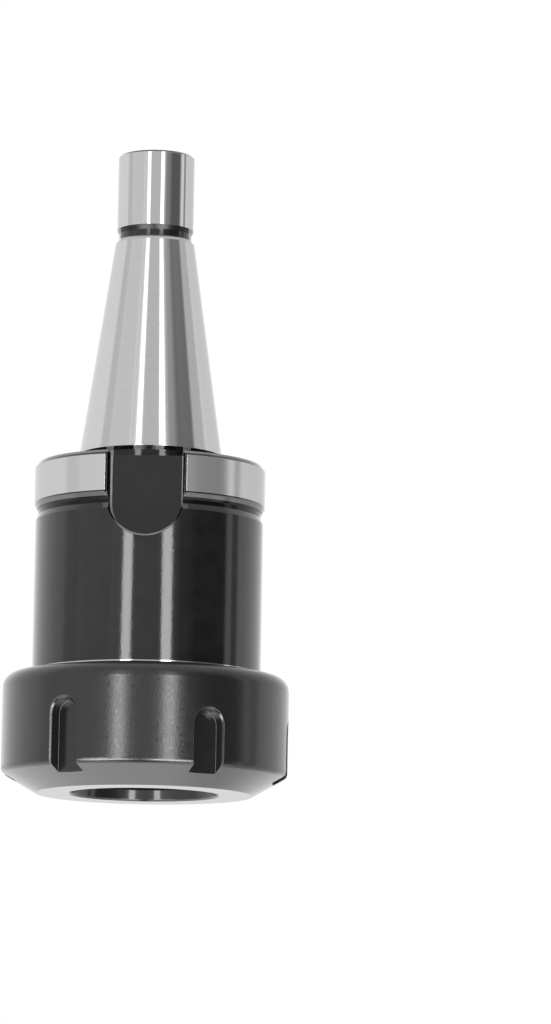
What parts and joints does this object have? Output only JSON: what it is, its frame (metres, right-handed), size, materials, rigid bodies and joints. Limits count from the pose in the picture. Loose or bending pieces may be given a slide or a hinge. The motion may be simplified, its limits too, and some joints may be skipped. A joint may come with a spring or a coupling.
{
  "type": "collet chuck holder",
  "caption": "Steel collet chuck holder: ground steep-taper shank with key-slotted flange, black body and slotted clamping nut on a screw thread.",
  "frame": {"origin": "centre of the clamping nut's front face, on which the holder stands", "axes": "+Z along the shank's axis from the nut towards the draw-bar end, -Y out through one key slot"},
  "size_m": [0.063, 0.063, 0.1431],
  "materials": {
    "chuck_steel": "black oxide on the body, ground bright on pilot, taper and flange rim",
    "nut_steel": "satin black oxide with a ground front face",
    "ring_steel": "hardened, dark grey",
    "spring_steel": "bright spring steel"
  },
  "bodies": {
    "nut": {"clamping_nut": "nut_steel", "retaining_ring": "spring_steel"},
    "ring": {"extraction_ring": "ring_steel"},
    "chuck": {"chuck_body": "chuck_steel"}
  },
  "joints": [
    {"name": "nut_screw_turn", "type": "hinge", "parent": "nut", "child": "ring", "pos_m": [0, 0, 0.0125], "axis": [0, 0, 1], "range_deg": [0, 2160]},
    {"name": "nut_screw_travel", "type": "slide", "parent": "ring", "child": "chuck", "axis": [0, 0, 1], "range_m": [0, 0.009]}
  ],
  "couplings": [
    {"joint": "nut_screw_travel", "follows": "nut_screw_turn", "m_per_rad": 0.00023873}
  ]
}
